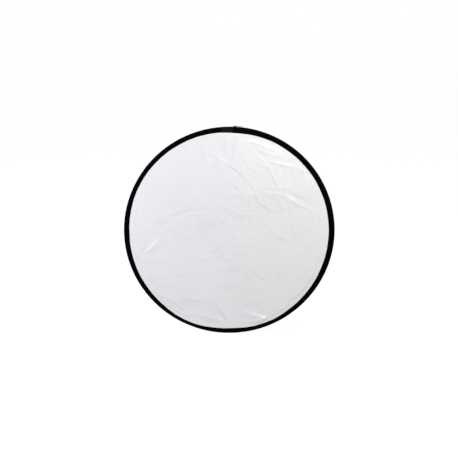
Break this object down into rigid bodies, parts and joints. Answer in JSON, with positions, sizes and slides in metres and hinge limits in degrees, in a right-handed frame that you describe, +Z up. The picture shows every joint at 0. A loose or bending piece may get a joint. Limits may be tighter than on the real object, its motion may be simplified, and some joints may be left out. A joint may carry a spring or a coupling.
{
  "type": "collapsible reflector disc",
  "caption": "Round collapsible light reflector: a spring-steel hoop and translucent panel inside a zip-off cover, white on one face and black on the other, with a black bound rim.",
  "frame": {"origin": "centre of the disc, half way through its thickness", "axes": "+Y is the disc's axis, pointing out of its black back face, and the white face looks along -Y; +Z is up, towards the label and the closed end of the zip; +X is to the right as seen from the white face"},
  "size_m": [0.7987, 0.0123, 0.8018],
  "materials": {
    "spring_steel": "rolled spring-steel band",
    "crimp_steel": "crimped steel sleeve",
    "diffuser_cloth": "thin translucent woven nylon",
    "white_cloth": "satin-weave white, slightly creased",
    "silver_cloth": "metallised silver",
    "gold_cloth": "metallised gold",
    "black_cloth": "matt black woven nylon",
    "black_tape": "black woven binding tape",
    "black_thread": "black sewing thread",
    "zip_nylon": "black nylon coil",
    "zip_metal": "black enamelled die-cast",
    "pull_metal": "black enamelled, worn at the grip",
    "label_cloth": "dark grey-green woven label, blank",
    "label_thread": "grey sewing thread"
  },
  "bodies": {
    "right_half": {"hoop_right": "spring_steel", "diffuser_panel_right": "diffuser_cloth", "diffuser_binding_right": "black_tape", "diffuser_stitching_right": "black_thread", "front_panel_right": "white_cloth", "front_lining_right": "silver_cloth", "back_panel_right": "black_cloth", "back_lining_right": "gold_cloth", "front_binding_right": "black_tape", "back_binding_right": "black_tape", "front_stitching_right": "black_thread", "back_stitching_right": "black_thread", "edge_gusset_right": "black_tape", "zip_tape_front": "black_tape", "zip_tape_back": "black_tape", "zip_coil_front": "zip_nylon", "zip_coil_back": "zip_nylon", "zip_top_stops": "zip_metal", "zip_bottom_stop": "zip_metal", "zip_end_tabs": "black_tape", "label": "label_cloth", "label_stitching": "label_thread"},
    "left_half": {"hoop_left": "spring_steel", "diffuser_panel_left": "diffuser_cloth", "diffuser_binding_left": "black_tape", "diffuser_stitching_left": "black_thread", "front_panel_left": "white_cloth", "front_lining_left": "silver_cloth", "back_panel_left": "black_cloth", "back_lining_left": "gold_cloth", "front_binding_left": "black_tape", "back_binding_left": "black_tape", "front_stitching_left": "black_thread", "back_stitching_left": "black_thread", "edge_gusset_left": "black_tape", "hoop_ferrule": "crimp_steel"},
    "slider": {"slider_body": "zip_metal", "slider_bridge": "zip_metal"},
    "pull": {"pull_tab": "pull_metal"}
  },
  "joints": [
    {"name": "fold", "type": "hinge", "parent": "right_half", "child": "left_half", "pos_m": [0, 0, 0], "axis": [-0.5, 0, 0.866], "range_deg": [-120, 120], "stiffness_Nm_per_rad": 1.8},
    {"name": "slider_travel", "type": "hinge", "parent": "right_half", "child": "slider", "pos_m": [0, 0, 0], "axis": [0, 1, 0], "range_deg": [0, 120]},
    {"name": "pull_swing", "type": "hinge", "parent": "slider", "child": "pull", "pos_m": [0.02096, 0, 0.4015], "axis": [0, 1, 0], "range_deg": [-170, 0]}
  ]
}
